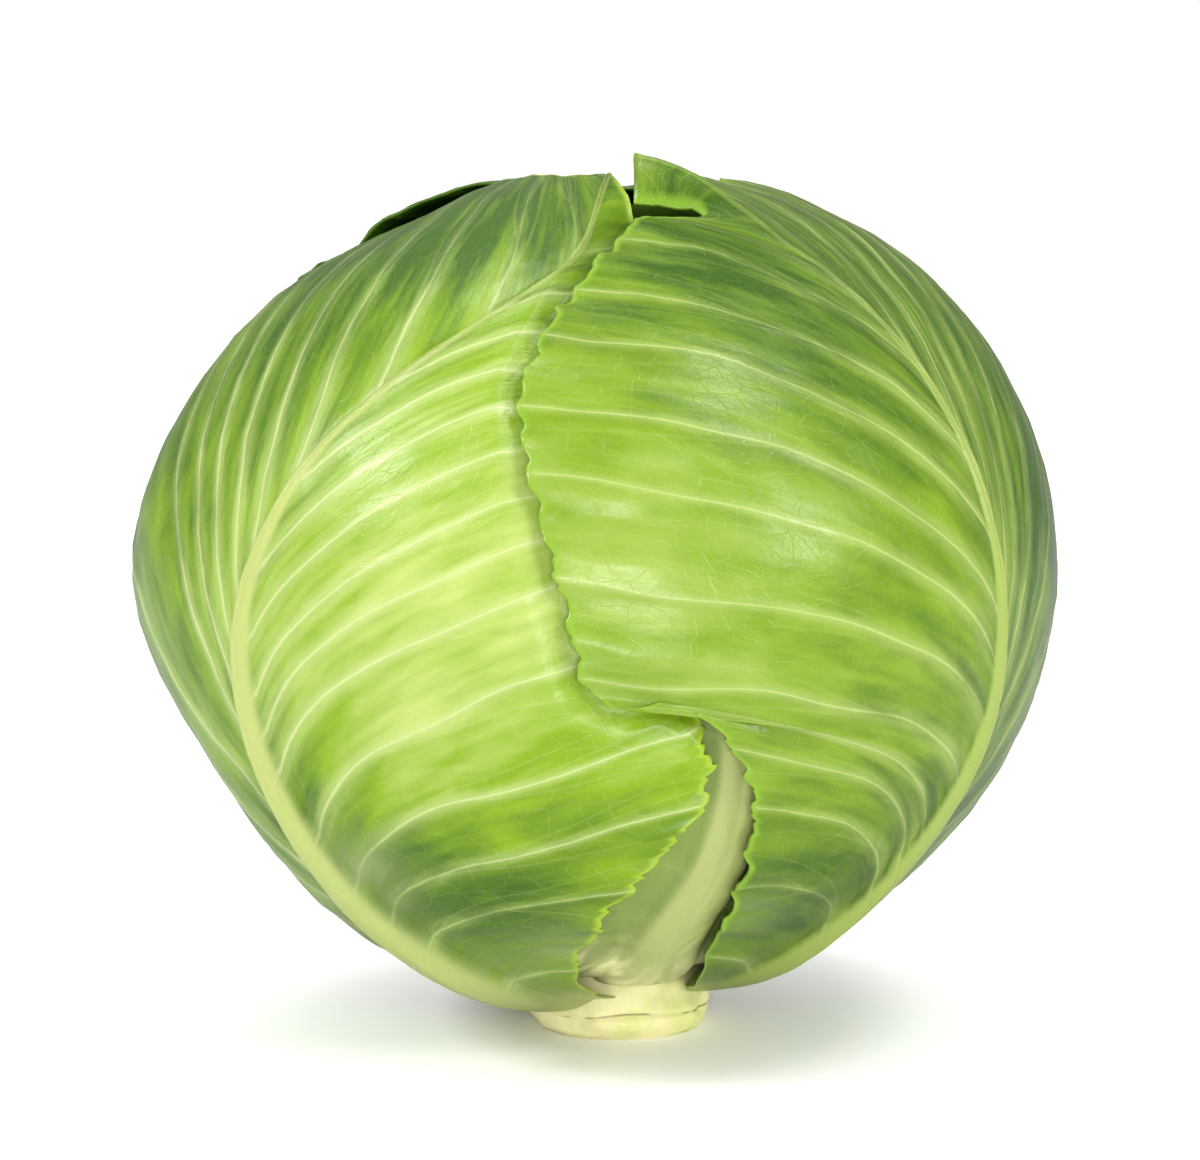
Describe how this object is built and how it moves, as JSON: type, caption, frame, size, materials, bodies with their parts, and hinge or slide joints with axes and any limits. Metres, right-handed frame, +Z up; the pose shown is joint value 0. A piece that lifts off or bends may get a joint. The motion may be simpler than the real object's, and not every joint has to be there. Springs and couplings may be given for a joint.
{
  "type": "cabbage head",
  "caption": "Round head of green cabbage with overlapping wrapper leaves, raised pale midribs and veins, and a short cut stump that it rests on.",
  "frame": {"origin": "centre of the stump's cut face, which the head rests on", "axes": "+Z up, along the stump; -Y towards the front, where two wrapper leaves overlap; +X to the right as seen from the front"},
  "size_m": [0.1985, 0.2033, 0.196],
  "materials": {
    "stump": "matte",
    "heart": "satin",
    "front_leaf": "satin",
    "left_leaf": "satin",
    "right_leaf": "satin",
    "back_leaf": "satin"
  },
  "bodies": {
    "root": {"stump": "stump", "heart": "heart", "front_leaf": "front_leaf", "left_leaf": "left_leaf", "right_leaf": "right_leaf", "back_leaf": "back_leaf"}
  },
  "joints": []
}
